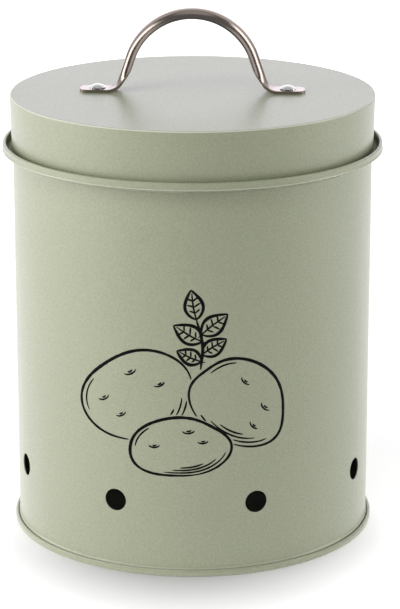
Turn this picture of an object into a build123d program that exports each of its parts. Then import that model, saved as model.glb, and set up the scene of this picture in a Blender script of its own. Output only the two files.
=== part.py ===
from build123d import *
import math
import os

# Vegetable storage tin: a seamed sheet-steel drum with a gallery rim, vent holes low in the
# wall, and a lift-off plug lid that carries a riveted, pressed steel bow handle.
# Millimetres. The origin is the centre of the base, +Z is up, and the lap seam is at +Y.

# ---- Drum ----
body_radius = 90.0        # outside of the rolled wall
body_sheet = 0.5          # wall sheet
ledge_top = 194.5         # flat step that carries the lid
ledge_width = 3.4         # from the outside of the wall to the inside of the upright lip
lip_height = 4.6          # top of the lip above the ledge
lip_fold = 0.7            # open gap inside the folded lip
hem_drop = 3.7            # how far the folded outer face hangs below the top of the lip
hem_flare = 0.35          # how far the free edge of that face turns out
hem_flare_rise = 0.7      # height over which it turns out
hem_flare_bend = 0.5
rim_bend = 0.6            # inside radius of the bends at the foot of the lip

# ---- Vents ----
vent_diameter = 11.2
vent_height = 36.5        # centres above the base
vent_count = 8

# ---- Lap seam down the back of the wall ----
lap_width = 5.0
lap_rise = 0.35           # how far the overlapped sheet stands proud
lap_root = 0.2            # how deep the lap is fused into the wall
lap_trim = 0.4            # bare wall above and below the lap

# ---- Base pan and its double seam ----
pan_sheet = 0.5
seam_gap = 0.12           # coating and sealing compound between the folded layers
chuck_gap = 0.15          # pan's upright wall to the inside of the drum
seam_height = 3.1
flare = 0.4               # the wall widens by this much, each side, where it enters the seam
flare_rise = 0.9          # height over which it widens, just above the seam
flare_bend = 0.6
hook_gap = 0.3            # clearance at the tips of both hooks
panel_recess = 3.6        # underside of the panel above the surface it stands over
panel_corner = 1.5        # inside radius where the panel meets its upright wall
bead_margin = 15.0        # from the pan's upright wall in to the stiffened middle of the panel
bead_step = 1.0           # how far the middle of the panel is raised
bead_bend = 1.2

# ---- Lid ----
lid_sheet = 0.5
lid_rise = 28.5           # top of the lid above the ledge
skirt_step = 0.6          # the foot of the skirt stands this far outside the wall
lid_draft = 0.6           # the skirt is wider by this much at its top edge
lid_corner = 0.5          # inside radius of the drawn top edge
seat_reach = 1.5          # how far the seating bead stands out beyond the skirt's foot
seat_fold = 0.4           # open gap inside the seating bead
plug_clearance = 0.4      # plug ring to the inside of the drum
plug_depth = 9.0          # how far the plug ring reaches below the ledge
plug_hem = 3.0            # height of the safe edge folded inside the plug ring
plug_hem_fold = 0.3       # open gap inside that safe edge

# ---- Rivets ----
rivet_spacing = 95.0
rivet_shank = 4.0
rivet_clearance = 0.15    # shank to its holes, each side
rivet_head = 8.3
rivet_rise = 2.0
rivet_rim = 0.4           # straight edge under the dome
rivet_tail = 6.4
rivet_tail_depth = 1.1
rivet_bore = 2.2          # hollow end that was rolled over

# ---- Handle ----
bow_rise = 42.0           # crown of the bow above the lid
strap_sheet = 1.5
strap_width = 12.0
strap_crown = 4.45        # rise of the strap's hollow section
leg_lean = 19.0           # degrees that the legs splay from upright
foot_bend = 6.0           # radius on top of the foot, where the leg turns out flat
head_gap = 0.3            # flat foot between the bend and the rivet's head
foot_tip = 8.7            # from the rivet's centre to the tip of the foot
foot_corner = 4.2         # rounding of the tip's two corners
hollow_leg = 4.0          # length of leg below the arch that keeps the full crown
leg_steps = 6             # sections down the leg, where the hollow strap starts to flatten
bend_steps = 10           # sections round the bend, at whose end it is flat

# ---- Sheet work ----
tight_bend = 0.0          # inside radius of hidden folds, pressed sharp
fold_flat = 0.1           # straight sheet left between the two bends of a rounded fold-back
punch_stroke = 8.0        # length of the tools that pierce the wall and the lid

# ---- Heights and radii that the pieces share ----
body_bore = body_radius - body_sheet
wall_middle = body_radius - body_sheet / 2
ledge_middle = ledge_top - body_sheet / 2
lip_middle = body_radius + ledge_width + body_sheet / 2
hem_middle = lip_middle + body_sheet + lip_fold
rim_top = ledge_top + lip_height

foot_middle = wall_middle + flare
flare_foot = seam_height + hook_gap
flare_top = flare_foot + flare_rise
cover_hook = body_radius + flare + seam_gap + pan_sheet / 2
body_hook = cover_hook + pan_sheet / 2 + seam_gap + body_sheet / 2
seam_wall = body_hook + body_sheet / 2 + seam_gap + pan_sheet / 2
seam_floor = pan_sheet / 2
hook_floor = pan_sheet + body_sheet / 2
seam_crest = seam_height - pan_sheet / 2
body_hook_tip = seam_height - pan_sheet - hook_gap
cover_hook_tip = pan_sheet + body_sheet + hook_gap
chuck_middle = body_bore + flare - chuck_gap - pan_sheet / 2
panel_middle = panel_recess + pan_sheet / 2
bead_foot = chuck_middle - bead_margin

lid_top = ledge_top + lid_rise
lid_panel = lid_top - lid_sheet / 2
lid_underside = lid_top - lid_sheet
skirt_foot = body_radius + skirt_step - lid_sheet / 2
skirt_top = skirt_foot + lid_draft
seat_middle = skirt_foot + seat_reach
seat_floor = ledge_top + lid_sheet / 2
seat_roof = seat_floor + lid_sheet + seat_fold
plug_middle = body_bore - plug_clearance - lid_sheet / 2
plug_hem_middle = plug_middle - lid_sheet - plug_hem_fold
plug_foot = ledge_top - plug_depth

rivet_hole = rivet_shank + 2 * rivet_clearance
rivet_places = {"rivet_left": -rivet_spacing / 2, "rivet_right": rivet_spacing / 2}
foot_top = lid_top + strap_sheet
foot_start = rivet_spacing / 2 - rivet_head / 2 - head_gap
foot_end = rivet_spacing / 2 + foot_tip


def sheet_side(points, bends, distance):
    """One face of a bent sheet: its middle line moved sideways, to the left where distance is +."""
    places = [Vector(*point) for point in points]
    directions = [(after - before).normalized() for before, after in zip(places, places[1:])]
    normals = [Vector(-along.Y, along.X) for along in directions]
    corners = [places[0] + normals[0] * distance]
    radii = []
    for place, bend, before, after in zip(places[1:-1], bends, normals, normals[1:]):
        corners.append(place + (before + after) * (distance / (1 + before.dot(after))))
        left_turn = math.copysign(1, before.cross(after).Z)
        radii.append(bend - left_turn * distance)
    corners.append(places[-1] + normals[-1] * distance)
    return FilletPolyline(*corners, radius=radii)


def spun_sheet(points, bends, sheet):
    """Spin a bent sheet, given by the (radius, height) corners of its middle line, about Z."""
    left = sheet_side(points, bends, sheet / 2)
    right = sheet_side(points, bends, -sheet / 2)
    section = make_face([left, right, Line(left @ 0, right @ 0), Line(left @ 1, right @ 1)])
    return revolve(Plane.XZ * section, Axis.Z)


def corner_bend(inside_radius, sheet):
    """Middle-line radius of a bend of the given inside radius."""
    return inside_radius + sheet / 2


def fold_bend(gap, sheet):
    """Middle-line radius of each of the two bends that fold a sheet back across a gap."""
    return (gap + sheet - fold_flat) / 2


def body_shell():
    """Drum wall: flared into the base seam, stepped out to a ledge, and folded over as a lip."""
    hook_fold = corner_bend(tight_bend, body_sheet)
    rim_corner = corner_bend(rim_bend, body_sheet)
    lip_crest = fold_bend(lip_fold, body_sheet)
    flare_corner = corner_bend(flare_bend, body_sheet)
    hem_corner = corner_bend(hem_flare_bend, body_sheet)
    corners = [
        (body_hook, body_hook_tip),
        (body_hook, hook_floor),
        (foot_middle, hook_floor),
        (foot_middle, flare_foot),
        (wall_middle, flare_top),
        (wall_middle, ledge_middle),
        (lip_middle, ledge_middle),
        (lip_middle, rim_top - body_sheet / 2),
        (hem_middle, rim_top - body_sheet / 2),
        (hem_middle, rim_top - hem_drop + hem_flare_rise),
        (hem_middle + hem_flare, rim_top - hem_drop),
    ]
    bends = [hook_fold, hook_fold, flare_corner, flare_corner]
    bends += [rim_corner, rim_corner, lip_crest, lip_crest, hem_corner]
    return spun_sheet(corners, bends, body_sheet) + lap_seam() - vents()


def lap_seam():
    """Overlapped, welded edge of the rolled sheet, from the flare up to the rim."""
    foot = flare_top + lap_trim
    height = ledge_top - body_sheet - rim_bend - lap_trim - foot
    outer = Cylinder(body_radius + lap_rise, height, align=(Align.CENTER, Align.CENTER, Align.MIN))
    inner = Cylinder(body_radius - lap_root, height, align=(Align.CENTER, Align.CENTER, Align.MIN))
    strip = Box(lap_width, 2 * body_radius, height, align=(Align.CENTER, Align.MIN, Align.MIN))
    return Pos(0, 0, foot) * ((outer - inner) & strip)


def vents():
    """Round air holes, evenly spaced, with none on the centre line of the front."""
    step = 360 / vent_count
    punch = Rot(0, 90, 0) * Cylinder(vent_diameter / 2, punch_stroke)
    holes = []
    for index in range(vent_count):
        holes.append(Rot(0, 0, (index + 0.5) * step) * Pos(wall_middle, 0, vent_height) * punch)
    return holes


def base_pan():
    """Bottom: a stiffened panel above the floor, folded round the drum's hook as a double seam."""
    bead_corner = corner_bend(bead_bend, pan_sheet)
    panel_fold = corner_bend(panel_corner, pan_sheet)
    floor_fold = corner_bend(tight_bend, pan_sheet)
    crest_fold = fold_bend(body_sheet + 2 * seam_gap, pan_sheet)
    corners = [
        (0, panel_middle + bead_step),
        (bead_foot - 2 * bead_step, panel_middle + bead_step),
        (bead_foot, panel_middle),
        (chuck_middle, panel_middle),
        (chuck_middle, seam_floor),
        (seam_wall, seam_floor),
        (seam_wall, seam_crest),
        (cover_hook, seam_crest),
        (cover_hook, cover_hook_tip),
    ]
    bends = [bead_corner, bead_corner, panel_fold, floor_fold, floor_fold, crest_fold, crest_fold]
    return spun_sheet(corners, bends, pan_sheet)


def lid_shell():
    """Lid: drawn cap, a bead that rests on the drum's ledge, and a plug ring inside the drum."""
    edge_corner = corner_bend(lid_corner, lid_sheet)
    seat_bend = corner_bend(tight_bend, lid_sheet)
    safe_edge = corner_bend(tight_bend, lid_sheet)
    corners = [
        (0, lid_panel),
        (skirt_top, lid_panel),
        (skirt_foot, seat_roof),
        (seat_middle, seat_roof),
        (seat_middle, seat_floor),
        (plug_middle, seat_floor),
        (plug_middle, plug_foot),
        (plug_hem_middle, plug_foot),
        (plug_hem_middle, plug_foot + plug_hem),
    ]
    bends = [edge_corner, seat_bend, seat_bend, seat_bend, seat_bend, safe_edge, safe_edge]
    shell = spun_sheet(corners, bends, lid_sheet)
    for place in rivet_places.values():
        shell -= Pos(place, 0, lid_panel) * Cylinder(rivet_hole / 2, punch_stroke)
    return shell


def strap_section(crown):
    """Section across the strap: x runs inward from the strap's back, y across its width."""
    half_width = strap_width / 2
    if crown == 0:
        outer = Line((0, half_width), (0, -half_width))
        inner = Line((strap_sheet, half_width), (strap_sheet, -half_width))
    else:
        radius = (half_width**2 + crown**2) / (2 * crown)
        half_angle = math.degrees(math.asin(half_width / radius))
        outer = CenterArc((radius, 0), radius, 180 - half_angle, 2 * half_angle)
        inner = CenterArc((radius, 0), radius - strap_sheet, 180 - half_angle, 2 * half_angle)
    return make_face([outer, inner, Line(outer @ 0, inner @ 0), Line(outer @ 1, inner @ 1)])


def strap_plane(back, slope):
    """Plane square to the strap where its back passes a point, running down at slope degrees."""
    lean = math.radians(slope)
    inward = (-math.sin(lean), 0, -math.cos(lean))
    along = (math.cos(lean), 0, -math.sin(lean))
    return Plane(origin=back, x_dir=inward, z_dir=along)


def foot_outline():
    """Flat foot in plan, from the bend to its rounded tip, with its rivet hole."""
    length = foot_end - foot_start
    plate = Pos(foot_start, 0) * Rectangle(length, strap_width, align=(Align.MIN, Align.CENTER))
    tip_corners = plate.vertices().sort_by(Axis.X)[-2:]
    return fillet(tip_corners, foot_corner) - Pos(rivet_spacing / 2, 0) * Circle(rivet_hole / 2)


def handle():
    """Bow handle: one strap, pressed hollow over the arch and legs, flattened at both feet."""
    lean = math.radians(leg_lean)
    leg_slope = 90 - leg_lean
    turn = math.radians(leg_slope)
    setback = foot_bend * math.tan(turn / 2)
    elbow = Vector(foot_start - setback, 0, foot_top)
    crown_height = bow_rise - strap_sheet
    arch_radius = (elbow.X - crown_height * math.tan(lean)) * math.cos(lean) / (1 - math.sin(lean))
    arch_top = Vector(0, 0, lid_top + bow_rise)
    arch_centre = arch_top - Vector(0, 0, arch_radius)
    shoulder = arch_centre + Vector(math.cos(lean), 0, math.sin(lean)) * arch_radius
    down_leg = (elbow - shoulder).normalized()
    leg_length = (elbow - shoulder).length - setback
    bend_length = foot_bend * turn
    bend_centre = Vector(foot_start, 0, foot_top + foot_bend)

    def flattened_section(distance):
        """Section of the strap at a distance down the leg and round the bend of the foot."""
        flattening = max(distance - hollow_leg, 0)
        share = flattening / (leg_length + bend_length - hollow_leg)
        crown = strap_crown * (1 + math.cos(math.pi * share)) / 2 if share < 1 else 0
        past_leg = max(distance - leg_length, 0)
        slope = leg_slope - math.degrees(past_leg / foot_bend)
        if past_leg:
            tilt = math.radians(slope)
            back = bend_centre - Vector(math.sin(tilt), 0, math.cos(tilt)) * foot_bend
        else:
            back = shoulder + down_leg * distance
        return strap_plane(back, slope) * strap_section(crown)

    stations = [leg_length * step / leg_steps for step in range(leg_steps)]
    stations += [leg_length + bend_length * step / bend_steps for step in range(bend_steps)]
    stations.append(leg_length + bend_length)
    arch_axis = Axis(arch_centre, (0, 1, 0))
    arch = revolve(strap_plane(arch_top, 0) * strap_section(strap_crown), arch_axis, leg_slope)
    leg = loft([flattened_section(distance) for distance in stations])
    foot = Pos(0, 0, lid_top) * extrude(foot_outline(), strap_sheet)
    half = arch + leg + foot
    return half + mirror(half, about=Plane.YZ)


def rivet():
    """Semi-tubular rivet: low domed head on the foot, shank, and tail rolled over under the lid."""
    half_head = rivet_head / 2
    dome = rivet_rise - rivet_rim
    dome_radius = (half_head**2 + dome**2) / (2 * dome)
    half_angle = math.degrees(math.asin(half_head / dome_radius))
    crown = foot_top + rivet_rise
    tail_foot = lid_underside - rivet_tail_depth
    tail_edge = rivet_tail / 2 - rivet_tail_depth / 2
    dome_line = CenterArc((0, crown - dome_radius), dome_radius, 90 - half_angle, half_angle)
    outline = Polyline(
        dome_line @ 0,
        (half_head, foot_top),
        (rivet_shank / 2, foot_top),
        (rivet_shank / 2, lid_underside),
        (rivet_tail / 2, lid_underside),
        (tail_edge, tail_foot),
        (rivet_bore / 2, tail_foot),
        (rivet_bore / 2, lid_underside),
        (0, lid_underside),
        (0, crown),
    )
    return revolve(Plane.XZ * make_face([dome_line, outline]), Axis.Z)


def main():
    os.makedirs("parts", exist_ok=True)
    nodes = {
        "body_shell": body_shell(),
        "base_pan": base_pan(),
        "lid_shell": lid_shell(),
        "handle": handle(),
    }
    for name, place in rivet_places.items():
        nodes[name] = Pos(place, 0, 0) * rivet()
    for name, solid in nodes.items():
        export_step(solid, f"parts/{name}.step")
        print(name, len(solid.solids()), solid.is_valid, round(solid.volume))


main()
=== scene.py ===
import math

import bpy
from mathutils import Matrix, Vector


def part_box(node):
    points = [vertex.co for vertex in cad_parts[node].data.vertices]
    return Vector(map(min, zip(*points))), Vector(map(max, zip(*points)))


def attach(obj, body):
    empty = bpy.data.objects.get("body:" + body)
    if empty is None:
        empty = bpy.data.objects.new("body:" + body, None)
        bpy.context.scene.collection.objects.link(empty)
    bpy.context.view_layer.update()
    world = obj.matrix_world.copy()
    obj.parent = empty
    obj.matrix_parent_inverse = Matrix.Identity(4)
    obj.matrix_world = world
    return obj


# Looks of a vegetable storage tin: satin sage enamel over a seamed steel drum and its plug lid,
# a brushed nickel bow handle on bright rivets, and an ink drawing of potatoes round the front.
# Metres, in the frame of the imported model: +Z is up and the front faces -Y.

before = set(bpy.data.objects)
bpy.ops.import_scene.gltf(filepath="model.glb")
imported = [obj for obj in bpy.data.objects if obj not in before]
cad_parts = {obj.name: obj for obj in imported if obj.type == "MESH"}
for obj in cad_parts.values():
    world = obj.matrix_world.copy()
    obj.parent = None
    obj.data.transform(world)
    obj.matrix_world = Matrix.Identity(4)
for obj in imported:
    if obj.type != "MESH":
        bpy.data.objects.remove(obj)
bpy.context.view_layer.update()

MM = 0.001
WHITE_LIGHT = (1.0, 1.0, 1.0)
COOL_LIGHT = (0.86, 0.805, 1.0)
SOFT_LIGHT = (0.965, 0.925, 1.0)

# ---- Viewpoint ----
CAMERA_LENS = 157.3           # millimetres
CAMERA_REACH = 1.304          # from the tin's axis, along the floor
CAMERA_HEIGHT = 0.4995
CAMERA_PITCH = 16.556         # degrees down
CAMERA_BEARING = 2.4          # degrees to the right of the tin's front
CAMERA_AIM = 0.163            # degrees that the view is turned past the axis

# ---- Studio ----
AMBIENT = 0.58                # world light that reaches matt surfaces from low down
AMBIENT_ABOVE = 0.12          # and from overhead
AMBIENT_FADE = (0.25, 0.85)   # heights between which one gives way to the other

# What shiny surfaces mirror of the world. Each pair is a stretch over which a part fades in or
# out: depths run from -1 in front of the tin to 1 behind it, and heights from 0 to 1 overhead.
ROOM = 0.09                   # dark part of the room
ROOM_ABOVE = 0.10             # added to it between the cards' tops and the ceiling
CEILING = 0.50
CEILING_FADE = (0.90, 0.98)
SWEEP_NEAR = (0.16, 0.36)     # where the white sweep behind the tin begins
SWEEP_TOP = (0.80, 0.99)      # and where it ends
SKYLINE = 0.35                # share of its brightness that is left low down
SKYLINE_FADE = (0.10, 0.20)
WINGS = 0.65                  # and that is left towards its sides
WINGS_FADE = (0.70, 0.92)
STRIP = 3.0                   # added by a bright strip on each side of the tin
STRIP_NEAR = (-0.06, 0.06)
STRIP_FAR = (0.34, 0.44)
STRIP_TOP = (0.62, 0.82)
STRIP_FORWARD = 0.10          # how much nearer the front the right strip stands
STRIP_LEAN = 0.58             # how far the left strip leans to the front over its height
STRIP_PIVOT = 0.12            # height about which it leans
SIDE_FADE = (-0.10, 0.10)     # from the left of the tin to its right
CARD = 0.75                   # added by a dimmer card on each side, further to the front
CARD_NEAR = (-0.80, -0.70)
CARD_FAR = (-0.55, -0.42)
CARD_TOP = (0.45, 0.65)

FLOOR_RADIUS = 7.0
FLOOR_WHITE = 0.70
FLOOR_MOTTLE = 0.01           # by how much the white varies
FLOOR_MOTTLE_SIZE = 0.4
FLOOR_ROUGHNESS = 0.9
FLOOR_GLOSS = 0.2             # its specular level
FLOOR_GLOW = 0.68             # added to what is seen directly of the lit floor
FLOOR_GLOW_AFAR = 0.40        # and added again where the lamps fall off
FLOOR_AFAR = (0.3, 1.2)       # reaches from the tin between which they do
FLOOR_SHADE = 0.75            # taken from that at the tin's foot, as a painted soft shadow
SHADE_LEAD = 42 * MM          # how far the middle of that shadow lies in front of the tin's
SHADE_LEAN = 1 * MM           # and to its left
SHADE_SQUEEZE = 1.08          # how much narrower it is than it is deep
SHADE_REACH = 63 * MM         # how far it spreads beyond the tin's foot
FLOOR_SHINE = 0.90            # brightness of the floor in reflections, beside and behind the tin
FLOOR_EDGE = -0.35            # in front of here the floor fades into the dark room, in reflections
FLOOR_FADE = 0.30

# ---- Enamel ----
SEAM_THICKNESS = 2.26 * MM    # base seam's outside to the outside of the wall
BEAD_REACH = 0.9 * MM         # lid's bead to the outside of its skirt
WALL_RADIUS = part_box("base_pan")[1].x - SEAM_THICKNESS
LID_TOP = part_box("lid_shell")[1].z
LID_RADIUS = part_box("lid_shell")[1].x - BEAD_REACH
RIM_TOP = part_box("body_shell")[1].z
RIM_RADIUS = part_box("body_shell")[1].x
LEDGE_TOP = RIM_TOP - 4.6 * MM
TROUGH_RADIUS = WALL_RADIUS + 3.5 * MM    # just past the inner face of the rim
BEAD_TOP = RIM_TOP - 3.1 * MM
HEM_TOP = RIM_TOP - 3.2 * MM  # top of the flared edge of the rim's hem
SEAM_TOP = 3.1 * MM
BLUR = 0.2 * MM               # width over which one kind of enamel gives way to another
SKIN = 0.4 * MM               # depth to which the outer enamel goes
EDGE = 0.5 * MM               # width of the painted highlight along a sharp edge
HEM_HIGHLIGHT = 0.6                # share of that painted highlight on the hem's edge
SEAM_HIGHLIGHT = 0.35              # and on a band at the top of the base seam
SAGE_DEEP = (0.300, 0.326, 0.211, 1.0)
SAGE_PALE = (0.368, 0.397, 0.265, 1.0)
# Pale colour painted on sharp edges as a highlight.
SAGE_HIGHLIGHT = (0.66, 0.66, 0.56, 1.0)
# Darker colour inside the tin, partly painted shade so that the vents look black; it is also painted shade
# in the rim's trough and on the lid's bead.
SAGE_INSIDE_AND_SHADE = (0.240, 0.262, 0.175, 1.0)
SATIN = 0.38                  # roughness of the outer enamel, and what clouds and grain add to it
SATIN_CLOUD = 0.07
SATIN_GRAIN = 0.08
MATT = 0.60                   # and the same inside the tin
MATT_GRAIN = 0.10
ENAMEL_IOR = 1.52
COAT_IOR = 1.5
COAT_ROUGHNESS = 0.33
COAT = 0.8
COAT_THIN = 0.78              # share of the coat in the hollows of the grain
COAT_SPECKLE = 0.44           # added to that share on its grains
PEEL_SIZE = 1.6 * MM
PEEL_DEPTH = 0.16 * MM
PEEL_SHARE = 0.6              # of the relief, where grain makes up the rest
GRAIN_SIZE = 0.8 * MM
CLOUD_SIZE = 45 * MM
CLOUD_SHARE = 0.35            # of the shift from deep to pale, where speckle makes up the rest
SPECKLE_FADE = (0.30, 0.70)   # heights of the grain between which it turns into a pale speck

# ---- Nickel and rivets ----
NICKEL = (0.48, 0.415, 0.38, 1.0)
NICKEL_WARM = (0.38, 0.315, 0.272, 1.0)
BRIGHT = (0.83, 0.83, 0.84, 1.0)
STREAK_WIDTH = 0.12 * MM
STREAK_LENGTH = 9 * MM
STREAK_DEPTH = 0.006 * MM
NICKEL_CLOUD_SIZE = 14 * MM
PLAIN_CLOUD = 0.6             # how far clouds and streaks take the warm nickel to the plain one
PLAIN_STREAKS = 0.5
PLAIN_LEAST = -0.05           # and where neither is
POLISH = 0.08                 # roughness of both metals, and what adds to it
POLISH_STREAKS = 0.12
POLISH_CLOUD = 0.04
MARK_SIZE = 0.8 * MM
MARK_SQUEEZE = (1.0, 6.0, 1.0)  # how many times smaller marks are along each axis
MARK_DEPTH = 0.003 * MM
HANDLE_ROUNDING = 0.35 * MM
RIVET_ROUNDING = 0.25 * MM

# ---- Ink drawing ----
INK_LIFT = 0.035 * MM
INK_DEPTH = 0.07              # thickness of a line as a share of its half width
INK_STEP = 0.6 * MM
INK_MOTTLE_SIZE = 2.2 * MM
INK_GRAIN = 0.004 * MM
PEN_TIP = 0.25                # share of its width that a line keeps at its ends
PEN_TAPER = 0.4               # the lower, the shorter its tapers
PEN_THIN = 0.72               # share of its width where the hand is lightest
PEN_WAVER = 0.56              # and what is added to that where it is heaviest
PEN_WAVER_SIZE = 5 * MM
NIB_SIDES = 6
ARC_STEP = 5                  # degrees from one point of an outline to the next
LINE_GAP = 0.04               # share of a potato's size by which lines behind it stop short of it
PEN = 0.80                    # half width of a full line, in millimetres
PEN_FINE = 0.46
INK = (0.003, 0.003, 0.003, 1.0)
INK_THIN = (0.010, 0.010, 0.009, 1.0)
INK_THINS = (0.55, 0.80)      # heights of the mottle between which the ink thins
INK_ROUGHNESS = 0.55
INK_ROUGH_MOTTLE = 0.12       # added to it by the mottle
INK_SHINE = 0.08


class Value:
    """One output of a node. Arithmetic on it adds nodes to the same tree."""

    def __init__(self, tree, socket):
        self.tree = tree
        self.socket = socket

    def out(self, name):
        """Another output of the same node."""
        return Value(self.tree, self.socket.node.outputs[name])

    def maths(self, operation, first, second=0.0):
        return self.tree.node("ShaderNodeMath", {"operation": operation}, {0: first, 1: second})

    def sine(self):
        return self.maths("SINE", self)

    def cosine(self):
        return self.maths("COSINE", self)

    def __add__(self, other):
        return self.maths("ADD", self, other)

    def __radd__(self, other):
        return self.maths("ADD", other, self)

    def __sub__(self, other):
        return self.maths("SUBTRACT", self, other)

    def __rsub__(self, other):
        return self.maths("SUBTRACT", other, self)

    def __mul__(self, other):
        return self.maths("MULTIPLY", self, other)

    def __rmul__(self, other):
        return self.maths("MULTIPLY", other, self)

    def __truediv__(self, other):
        return self.maths("DIVIDE", self, other)

    def __pow__(self, other):
        return self.maths("POWER", self, other)

    def clamped(self):
        return self.maths("MINIMUM", self.maths("MAXIMUM", self, 0.0), 1.0)


class Tree:
    """A node tree under construction."""

    def __init__(self, node_tree):
        self.node_tree = node_tree
        node_tree.nodes.clear()

    def node(self, kind, settings=None, inputs=None, output=0):
        """Add a node: its settings first, then a value or a link for each socket."""
        node = self.node_tree.nodes.new(kind)
        for name, value in (settings or {}).items():
            setattr(node, name, value)
        for name, value in (inputs or {}).items():
            if isinstance(value, Value):
                self.node_tree.links.new(value.socket, node.inputs[name])
            else:
                node.inputs[name].default_value = value
        return Value(self, node.outputs[output]) if node.outputs else node

    def colour(self, share, first, second):
        """Colour that goes from first to second as share goes from 0 to 1."""
        inputs = {0: share, 6: first, 7: second}
        return self.node("ShaderNodeMix", {"data_type": "RGBA"}, inputs, output=2)

    def scaled(self, vector, scale):
        return self.node("ShaderNodeVectorMath", {"operation": "MULTIPLY"}, {0: vector, 1: scale})

    def noise(self, vector, size, detail=2.0, roughness=0.5):
        """Noise between 0 and 1 whose features are about size across."""
        inputs = {"Vector": vector, "Scale": 1 / size, "Detail": detail, "Roughness": roughness}
        return self.node("ShaderNodeTexNoise", None, inputs)

    def band(self, value, low, high):
        """Smooth step from 0 at low to 1 at high."""
        inputs = {"Value": value, "From Min": low, "From Max": high}
        return self.node("ShaderNodeMapRange", {"interpolation_type": "SMOOTHERSTEP"}, inputs)


class Finish(Tree):
    """A material for one of the tin's finishes."""

    def __init__(self, name):
        self.material = bpy.data.materials.new(name)
        self.material.use_nodes = True
        super().__init__(self.material.node_tree)
        self.place = self.node("ShaderNodeTexCoord", output="Object")

    def bump(self, height, distance, normal=None):
        """Normal of a surface whose relief is up to distance high."""
        inputs = {"Height": height, "Distance": distance, "Strength": 1.0}
        if normal:
            inputs["Normal"] = normal
        return self.node("ShaderNodeBump", None, inputs)

    def rounding(self, radius):
        """Normal that softens sharp edges."""
        return self.node("ShaderNodeBevel", {"samples": 4}, {"Radius": radius})

    def surface(self, inputs):
        shader = self.node("ShaderNodeBsdfPrincipled", None, inputs)
        self.node("ShaderNodeOutputMaterial", None, {"Surface": shader})
        return self.material


def grey(level):
    return (level, level, level, 1.0)


def seen_directly(tree):
    """1 for rays from the camera and from glossy or clear surfaces, and 0 for matt ones."""
    path = tree.node("ShaderNodeLightPath")
    total = path.out("Is Camera Ray") + path.out("Is Glossy Ray") + path.out("Is Transmission Ray")
    return total.clamped()


def rim_trough_shade(finish, reach, height):
    """1 on the inner face of the rim and on the ledge at its foot, which take the darker inside colour as
    painted shade.
    """
    above_ledge = finish.band(height, LEDGE_TOP - 1.5 * BLUR, LEDGE_TOP - 0.5 * BLUR)
    return above_ledge * (1 - finish.band(reach, TROUGH_RADIUS, TROUGH_RADIUS + BLUR))


def lid_bead_shade(finish, reach, height):
    """1 on the lid's seating bead and on all that lies below it, which take the darker inside colour:
    painted shade where they show in the rim's trough.
    """
    return 1 - finish.band(height, BEAD_TOP, BEAD_TOP + BLUR)


def painted_edge_highlights(finish, reach, height):
    """Painted highlights: pale lines on the lid's corner, on the hem's edge and at the top of the base
    seam.
    """
    lid_highlight = finish.band(height, LID_TOP - 1.4 * EDGE, LID_TOP - 0.9 * EDGE)
    lid_highlight = lid_highlight * finish.band(reach, LID_RADIUS - 1.4 * EDGE, LID_RADIUS - 0.9 * EDGE)
    hem_highlight = finish.band(reach, RIM_RADIUS - 0.5 * EDGE, RIM_RADIUS - 0.2 * EDGE)
    hem_highlight = hem_highlight * (1 - finish.band(height, HEM_TOP, HEM_TOP + BLUR))
    highlight_over_seam = finish.band(height, SEAM_TOP - EDGE, SEAM_TOP)
    highlight_over_seam = highlight_over_seam * (1 - finish.band(height, SEAM_TOP + EDGE, SEAM_TOP + 2 * EDGE))
    return (lid_highlight + HEM_HIGHLIGHT * hem_highlight + SEAM_HIGHLIGHT * highlight_over_seam).clamped()


def sage_enamel(name, trough_shade=None):
    """Satin powder coat: fine grain over an orange-peel skin.

    It is thin, matt and darker inside the tin, and the same where the mask it is given is 1: painted shade
    in the rim's trough.
    """
    finish = Finish(name)
    split = finish.node("ShaderNodeSeparateXYZ", None, {0: finish.place})
    reach = (split.out("X") ** 2 + split.out("Y") ** 2) ** 0.5
    height = split.out("Z")
    wall = finish.band(reach, WALL_RADIUS - SKIN, WALL_RADIUS - SKIN + BLUR)
    top = finish.band(height, LID_TOP - SKIN, LID_TOP - SKIN + BLUR)
    outside = (wall + top).clamped()
    # The mask paints shade in the rim's trough with the darker inside colour.
    if trough_shade:
        outside = outside * (1 - trough_shade(finish, reach, height))
    cloud = finish.noise(finish.place, CLOUD_SIZE, detail=3)
    peel = finish.noise(finish.place, PEEL_SIZE, detail=1)
    grain = finish.noise(finish.place, GRAIN_SIZE, detail=2)
    speckle = finish.band(grain, *SPECKLE_FADE)
    paleness = CLOUD_SHARE * cloud + (1 - CLOUD_SHARE) * speckle
    coat = finish.colour(paleness, SAGE_DEEP, SAGE_PALE)
    # Painted highlights along the lid's corner, the hem's edge and the top of the base seam.
    coat = finish.colour(painted_edge_highlights(finish, reach, height), coat, SAGE_HIGHLIGHT)
    satin = SATIN + SATIN_CLOUD * cloud + SATIN_GRAIN * grain
    matt = MATT + MATT_GRAIN * grain
    return finish.surface({
        "Base Color": finish.colour(outside, SAGE_INSIDE_AND_SHADE, coat),
        "Roughness": matt + outside * (satin - matt),
        "IOR": ENAMEL_IOR,
        "Coat Weight": COAT * outside * (COAT_THIN + COAT_SPECKLE * speckle),
        "Coat Roughness": COAT_ROUGHNESS,
        "Coat IOR": COAT_IOR,
        "Normal": finish.bump(PEEL_SHARE * peel + (1 - PEEL_SHARE) * grain, PEEL_DEPTH),
    })


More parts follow.
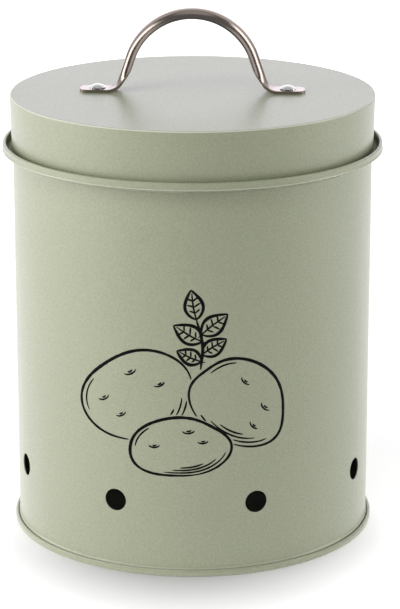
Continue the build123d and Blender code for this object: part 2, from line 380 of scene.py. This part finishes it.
def brushed_nickel():
    """Warm satin nickel, brushed along the strap."""
    finish = Finish("brushed_nickel")
    run = (1 / STREAK_LENGTH, 1 / STREAK_WIDTH, 1 / STREAK_LENGTH)
    streaks = finish.noise(finish.scaled(finish.place, run), 1.0, detail=3, roughness=0.6)
    cloud = finish.noise(finish.place, NICKEL_CLOUD_SIZE, detail=2)
    plainness = (PLAIN_CLOUD * cloud + PLAIN_STREAKS * streaks + PLAIN_LEAST).clamped()
    return finish.surface({
        "Base Color": finish.colour(plainness, NICKEL_WARM, NICKEL),
        "Metallic": 1.0,
        "Roughness": POLISH + POLISH_STREAKS * streaks + POLISH_CLOUD * cloud,
        "Normal": finish.bump(streaks, STREAK_DEPTH, finish.rounding(HANDLE_ROUNDING)),
    })


def bright_rivet():
    """Bright nickel plating with faint handling marks."""
    finish = Finish("bright_rivet")
    drawn_out = finish.scaled(finish.place, MARK_SQUEEZE)
    marks = finish.noise(drawn_out, MARK_SIZE, detail=4, roughness=0.7)
    return finish.surface({
        "Base Color": BRIGHT,
        "Metallic": 1.0,
        "Roughness": POLISH + POLISH_STREAKS * marks,
        "Normal": finish.bump(marks, MARK_DEPTH, finish.rounding(RIVET_ROUNDING)),
    })


def drawing_ink():
    """Near-black stoving ink, a little thin in places."""
    finish = Finish("drawing_ink")
    thin = finish.noise(finish.place, INK_MOTTLE_SIZE, detail=3)
    return finish.surface({
        "Base Color": finish.colour(finish.band(thin, *INK_THINS), INK, INK_THIN),
        "Roughness": INK_ROUGHNESS + INK_ROUGH_MOTTLE * thin,
        "Specular IOR Level": INK_SHINE,
        "Normal": finish.bump(thin, INK_GRAIN),
    })


def turned(point, degrees, middle=(0.0, 0.0)):
    """A flat point turned about the origin, then moved by middle."""
    angle = math.radians(degrees)
    x = point[0] * math.cos(angle) - point[1] * math.sin(angle)
    y = point[0] * math.sin(angle) + point[1] * math.cos(angle)
    return (middle[0] + x, middle[1] + y)


class Potato:
    """A drawn potato: an uneven oval on the unrolled wall."""

    def __init__(self, middle, half_length, half_width, lean, phase):
        self.middle = middle
        self.half_length = half_length
        self.half_width = half_width
        self.lean = lean
        self.phase = phase

    def bulge(self, angle):
        """Outline's reach at an angle, as a share of a plain oval's."""
        oval = 0.05 * math.cos(2 * angle + self.phase)
        lobes = 0.045 * math.cos(3 * angle + 2.1 * self.phase)
        return 1 + oval + lobes + 0.012 * math.cos(5 * angle)

    def point(self, degrees, depth=0.0):
        """Point on the outline, or a share of the way in towards the middle."""
        angle = math.radians(degrees)
        reach = self.bulge(angle) * (1 - depth)
        flat = (self.half_length * reach * math.cos(angle), self.half_width * reach * math.sin(angle))
        return turned(flat, self.lean, self.middle)

    def arc(self, start, end, depth=0.0):
        """Run of the outline between two angles."""
        steps = max(6, round(abs(end - start) / ARC_STEP))
        return [self.point(start + (end - start) * step / steps, depth) for step in range(steps + 1)]

    def covers(self, point):
        """Whether a point lies on this potato, or so near that a line would touch it."""
        flat = (point[0] - self.middle[0], point[1] - self.middle[1])
        x, y = turned(flat, -self.lean)
        x, y = x / self.half_length, y / self.half_width
        return math.hypot(x, y) < self.bulge(math.atan2(y, x)) + LINE_GAP

    def eye(self, degrees, depth, size):
        """A sunken bud: a brow over a short curl."""
        middle = self.point(degrees, depth)
        lines = []
        for reach, start, sweep in ((1.0, 195, 140), (0.45, 215, 120)):
            swings = [math.radians(start + sweep * step / 8) for step in range(9)]
            wide, tall = size * reach, 0.6 * size * reach
            curl = [(wide * math.cos(swing), tall * math.sin(swing)) for swing in swings]
            lines.append([turned(point, self.lean, middle) for point in curl])
        return lines


def seen_runs(line, in_front):
    """Parts of a line that nothing in front hides."""
    runs = [[]]
    for point in line:
        if any(potato.covers(point) for potato in in_front):
            runs.append([])
        else:
            runs[-1].append(point)
    return [run for run in runs if len(run) > 2]


def leaf(foot, bearing, length, half_width):
    """Both edges, rib and veins of a pointed leaf, each with its pen."""
    lines = []
    for side in (-1, 1):
        shares = [step / 12 for step in range(13)]
        edge = [(length * share, side * half_width * math.sin(math.pi * share ** 0.8)) for share in shares]
        lines.append((edge, PEN))
    rib = [(length * share, 0.35 * math.sin(4 * share)) for share in (-0.15, 0.1, 0.4, 0.7, 0.9)]
    lines.append((rib, PEN_FINE))
    for share in (0.22, 0.42, 0.62):
        for side in (-1, 1):
            reach = side * half_width * math.sin(math.pi * share ** 0.8)
            ends = ((share, 0), (share + 0.07, 0.45 * reach), (share + 0.1, 0.75 * reach))
            lines.append(([(length * along, across) for along, across in ends], PEN_FINE))
    return [([turned(point, bearing, foot) for point in line], pen) for line, pen in lines]


def potato_lines():
    """Every pen line of the drawing: flat points in millimetres, and the pen's half width."""
    front = Potato((-3.0, 66.0), half_length=24.0, half_width=15.5, lean=6.0, phase=0.7)
    left = Potato((-24.0, 91.0), half_length=30.0, half_width=22.0, lean=28.0, phase=1.9)
    right = Potato((27.0, 88.0), half_length=27.0, half_width=19.5, lean=-42.0, phase=3.4)
    # Each eye has a direction in degrees, a share of the way in from the outline, and a size.
    eyes = {
        front: ((68, 0.36, 3.2), (160, 0.48, 2.9), (20, 0.45, 2.8)),
        left: ((80, 0.38, 3.6), (10, 0.52, 3.0), (150, 0.42, 3.3), (205, 0.55, 3.0)),
        right: ((40, 0.40, 3.3), (110, 0.45, 3.0), (340, 0.48, 3.0)),
    }
    # Each shading line has a share of the way in, and the directions at which it starts and ends.
    shading = ((0.10, 244, 342), (0.19, 256, 326), (0.28, 268, 308), (0.10, 128, 172))
    lines = []
    in_front = []
    for potato in (front, right, left):
        strokes = [(potato.arc(-75, 290), PEN)]
        for depth, first, last in shading:
            strokes.append((potato.arc(first, last, depth), PEN_FINE))
        for eye in eyes[potato]:
            strokes += [(curl, PEN_FINE) for curl in potato.eye(*eye)]
        for line, pen in strokes:
            lines += [(run, pen) for run in seen_runs(line, in_front)]
        in_front.append(potato)
    sprig = [([(4.0, 96.0), (7.5, 106.0), (8.5, 118.0), (5.5, 131.0)], PEN)]
    # Each leaf has a foot, a bearing in degrees, a length and half a width.
    leaves = (
        ((5.5, 131.0), 100, 15, 4.4),
        ((8.0, 123.5), 38, 16, 4.6),
        ((8.3, 120.0), 150, 16, 4.6),
        ((8.2, 113.5), 32, 14, 4.0),
        ((7.9, 110.0), 156, 13, 3.8),
    )
    for placing in leaves:
        sprig += leaf(*placing)
    for line, pen in sprig:
        lines += [(run, pen) for run in seen_runs(line, in_front)]
    return lines


def pen_curves():
    """The drawing as flat curves: across the wall is X, up it is Y, and radius is the pen's."""
    curves = bpy.data.curves.new("pen_lines", "CURVE")
    curves.dimensions = "3D"
    for line, pen in potato_lines():
        spline = curves.splines.new("POLY")
        spline.points.add(len(line) - 1)
        for point, (across, up) in zip(spline.points, line):
            point.co = (across * MM, up * MM, 0, 1)
            point.radius = pen * MM
    return curves


def ink_tree():
    """Flat pen lines become tapered ribs of ink, wrapped round the wall."""
    group = bpy.data.node_groups.new("ink_round_wall", "GeometryNodeTree")
    group.interface.new_socket("Lines", in_out="INPUT", socket_type="NodeSocketGeometry")
    for name in ("Wall Radius", "Lift", "Depth", "Step"):
        group.interface.new_socket(name, in_out="INPUT", socket_type="NodeSocketFloat")
    group.interface.new_socket("Ink", in_out="INPUT", socket_type="NodeSocketMaterial")
    group.interface.new_socket("Drawing", in_out="OUTPUT", socket_type="NodeSocketGeometry")
    tree = Tree(group)
    given = tree.node("NodeGroupInput", output="Lines")

    bent = tree.node("GeometryNodeCurveSplineType", {"spline_type": "CATMULL_ROM"}, {"Curve": given})
    fine = tree.node(
        "GeometryNodeResampleCurve", {"mode": "LENGTH"}, {"Curve": bent, "Length": given.out("Step")})
    along = tree.node("GeometryNodeSplineParameter", output="Factor")
    press = (along * math.pi).sine().clamped() ** PEN_TAPER
    place = tree.node("GeometryNodeInputPosition")
    waver = tree.noise(place, PEN_WAVER_SIZE, detail=1)
    taper = PEN_TIP + (1 - PEN_TIP) * press
    pen = tree.node("GeometryNodeInputRadius") * taper * (PEN_THIN + PEN_WAVER * waver)
    level = tree.node("GeometryNodeSetCurveNormal", {"mode": "Z_UP"}, {"Curve": fine})

    nib = tree.node("GeometryNodeCurvePrimitiveCircle", None, {"Resolution": NIB_SIDES, "Radius": 1.0})
    squash = tree.node("ShaderNodeCombineXYZ", None, {"X": 1.0, "Y": given.out("Depth"), "Z": 1.0})
    flat_nib = tree.node("GeometryNodeTransform", None, {"Geometry": nib, "Scale": squash})
    ribs = tree.node("GeometryNodeCurveToMesh", None, {
        "Curve": level,
        "Profile Curve": flat_nib,
        "Scale": pen,
        "Fill Caps": True,
    })

    flat = tree.node("ShaderNodeSeparateXYZ", None, {0: tree.node("GeometryNodeInputPosition")})
    wall = given.out("Wall Radius")
    reach = wall + given.out("Lift") + flat.out("Z")
    turn = flat.out("X") / wall
    round_wall = tree.node("ShaderNodeCombineXYZ", None, {
        "X": reach * turn.sine(),
        "Y": -1 * reach * turn.cosine(),
        "Z": flat.out("Y"),
    })
    wrapped = tree.node("GeometryNodeSetPosition", None, {"Geometry": ribs, "Position": round_wall})
    smooth = tree.node("GeometryNodeSetShadeSmooth", None, {"Geometry": wrapped})
    plain = tree.node("GeometryNodeRealizeInstances", None, {"Geometry": smooth})
    painted = tree.node(
        "GeometryNodeSetMaterial", None, {"Geometry": plain, "Material": given.out("Ink")})
    tree.node("NodeGroupOutput", None, {"Drawing": painted})
    return group


def potato_drawing():
    """The ink drawing on the front of the wall, as one plain mesh."""
    drawn = bpy.data.objects.new("pen_lines", pen_curves())
    bpy.context.scene.collection.objects.link(drawn)
    nodes = drawn.modifiers.new("ink", "NODES")
    nodes.node_group = ink_tree()
    sizes = {
        "Wall Radius": WALL_RADIUS,
        "Lift": INK_LIFT,
        "Depth": INK_DEPTH,
        "Step": INK_STEP,
        "Ink": drawing_ink(),
    }
    for socket in nodes.node_group.interface.items_tree:
        if socket.name in sizes:
            nodes[socket.identifier] = sizes[socket.name]
    drawn.update_tag()
    seen = drawn.evaluated_get(bpy.context.evaluated_depsgraph_get())
    mesh = bpy.data.meshes.new_from_object(seen)
    mesh.name = "potato_drawing"
    bpy.data.objects.remove(drawn)
    drawing = bpy.data.objects.new("potato_drawing", mesh)
    bpy.context.scene.collection.objects.link(drawing)
    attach(drawing, "bin")


def grey_colour(tree, level):
    return tree.node("ShaderNodeCombineColor", None, {"Red": level, "Green": level, "Blue": level})


def studio_floor():
    """White floor: it keeps the tin's soft shadow, has a painted soft shadow round its foot, and fades out
    towards the front in reflections.
    """
    finish = Finish("studio_floor")
    path = finish.node("ShaderNodeLightPath")
    mirrored = (path.out("Is Glossy Ray") + path.out("Is Transmission Ray")).clamped()
    split = finish.node("ShaderNodeSeparateXYZ", None, {0: finish.place})
    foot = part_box("base_pan")[1].x
    across = SHADE_SQUEEZE * (split.out("X") + SHADE_LEAN)
    along = split.out("Y") + SHADE_LEAD
    spread = (across ** 2 + along ** 2) ** 0.5
    # Painted soft shadow round the tin's foot, taken from the floor's glow.
    shaded = 1 - ((spread + SHADE_LEAD - foot) / SHADE_REACH).clamped()
    away = finish.node("ShaderNodeVectorMath", {"operation": "LENGTH"}, {0: finish.place}, "Value")
    afar = FLOOR_GLOW_AFAR * finish.band(away, *FLOOR_AFAR)
    seen = (FLOOR_GLOW + afar - FLOOR_SHADE * shaded) * path.out("Is Camera Ray")
    beside = finish.band(split.out("Y"), FLOOR_EDGE - FLOOR_FADE, FLOOR_EDGE)
    shine = seen + (ROOM + (FLOOR_SHINE - ROOM) * beside) * mirrored
    mottling = finish.noise(finish.place, FLOOR_MOTTLE_SIZE, detail=2)
    whites = (grey(FLOOR_WHITE - FLOOR_MOTTLE), grey(FLOOR_WHITE + FLOOR_MOTTLE))
    material = finish.surface({
        "Base Color": finish.colour(mottling, *whites),
        "Roughness": FLOOR_ROUGHNESS,
        "Specular IOR Level": FLOOR_GLOSS,
        "Emission Color": grey_colour(finish, shine),
        "Emission Strength": 1.0,
    })
    corners = [(x * FLOOR_RADIUS, y * FLOOR_RADIUS, 0) for x, y in ((-1, -1), (1, -1), (1, 1), (-1, 1))]
    mesh = bpy.data.meshes.new("floor")
    mesh.from_pydata(corners, [], [(0, 1, 2, 3)])
    mesh.materials.append(material)
    floor = bpy.data.objects.new("floor", mesh)
    bpy.context.scene.collection.objects.link(floor)


def mirrored_world(tree, side, depth, height):
    """Brightness of the world in reflections: room, ceiling, white sweep, strips and cards."""
    overhead = tree.band(height, *CEILING_FADE)
    below_card_tops = 1 - tree.band(height, *CARD_TOP)
    sweep = tree.band(depth, *SWEEP_NEAR) * (1 - tree.band(height, *SWEEP_TOP))
    sweep = sweep * (SKYLINE + (1 - SKYLINE) * tree.band(height, *SKYLINE_FADE))
    sweep = sweep * (WINGS + (1 - WINGS) * tree.band(depth, *WINGS_FADE))
    leftward = 1 - tree.band(side, *SIDE_FADE)
    lean = STRIP_LEAN * (height - STRIP_PIVOT) * leftward
    upright = depth + lean + STRIP_FORWARD * (1 - leftward)
    strip = tree.band(upright, *STRIP_NEAR) - tree.band(upright, *STRIP_FAR)
    strip = strip * (1 - tree.band(height, *STRIP_TOP))
    card = (tree.band(depth, *CARD_NEAR) - tree.band(depth, *CARD_FAR)) * below_card_tops
    room = ROOM + ROOM_ABOVE * (1 - below_card_tops) * (1 - overhead)
    return room + (CEILING - ROOM) * overhead + (1 - ROOM) * sweep + STRIP * strip + CARD * card


def studio_world():
    """Plain soft light on matt surfaces, the painted studio in shiny ones, and white behind it all."""
    world = bpy.data.worlds.new("studio")
    world.use_nodes = True
    bpy.context.scene.world = world
    tree = Tree(world.node_tree)
    direction = tree.node("ShaderNodeTexCoord", output="Generated")
    split = tree.node("ShaderNodeSeparateXYZ", None, {0: direction})
    height = split.out("Z")
    mirrored = mirrored_world(tree, split.out("X"), split.out("Y"), height)
    ambient = AMBIENT + (AMBIENT_ABOVE - AMBIENT) * tree.band(height, *AMBIENT_FADE)
    glossy = tree.node("ShaderNodeLightPath").out("Is Glossy Ray")
    seen = 1 - glossy + glossy * mirrored
    level = ambient + seen_directly(tree) * (seen - ambient)
    light = tree.node(
        "ShaderNodeBackground", None, {"Color": grey_colour(tree, level), "Strength": 1.0})
    tree.node("ShaderNodeOutputWorld", None, {"Surface": light})


def lamp(name, place, aim, size, power, colour=WHITE_LIGHT, mirrored=False):
    """A rectangular soft light at place that faces aim. Shiny surfaces show it only if mirrored."""
    light = bpy.data.lights.new(name, "AREA")
    light.shape = "RECTANGLE"
    light.size, light.size_y = size
    light.energy = power
    light.color = colour
    lamp_object = bpy.data.objects.new(name, light)
    bpy.context.scene.collection.objects.link(lamp_object)
    lamp_object.location = place
    reach = [a - p for a, p in zip(aim, place)]
    lamp_object.rotation_euler = Vector(reach).to_track_quat("-Z", "Y").to_euler()
    lamp_object.visible_glossy = mirrored


def camera():
    """The viewpoint: to the right of the tin's front, and looking down on its lid."""
    camera_data = bpy.data.cameras.new("camera")
    camera_data.lens = CAMERA_LENS
    camera_object = bpy.data.objects.new("camera", camera_data)
    bpy.context.scene.collection.objects.link(camera_object)
    bearing = math.radians(CAMERA_BEARING)
    camera_object.location = (
        CAMERA_REACH * math.sin(bearing), -CAMERA_REACH * math.cos(bearing), CAMERA_HEIGHT)
    camera_object.rotation_euler = (
        math.radians(90 - CAMERA_PITCH), 0, math.radians(CAMERA_BEARING - CAMERA_AIM))
    bpy.context.scene.camera = camera_object


def dress(node, material):
    """Give a CAD node its finish."""
    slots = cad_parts[node].data.materials
    slots.clear()
    slots.append(material)


dress("body_shell", sage_enamel("enamelled_wall", rim_trough_shade))
dress("base_pan", sage_enamel("enamelled_pan"))
dress("lid_shell", sage_enamel("enamelled_lid", lid_bead_shade))
dress("handle", brushed_nickel())
rivet_finish = bright_rivet()
for rivet in ("rivet_left", "rivet_right"):
    dress(rivet, rivet_finish)

potato_drawing()

studio_floor()
studio_world()
wall_middle = (0.0, 0.0, 0.13)
rim_middle = (0.0, 0.0, 0.20)
lamp("left_window", (-1.38, -0.54, 0.42), wall_middle, size=(0.9, 0.9), power=16.2, colour=SOFT_LIGHT)
lamp("right_card", (1.45, -0.18, 0.42), wall_middle, size=(0.9, 0.9), power=7.0)
lamp(
    "rear_window", (-0.1, 1.80, 0.70), rim_middle,
    size=(2.2, 1.0), power=5.35, colour=COOL_LIGHT, mirrored=True)
lamp("front_top", (-0.30, -0.70, 1.20), rim_middle, size=(0.9, 0.5), power=5.4)
camera()
bpy.context.scene.view_settings.view_transform = "Standard"
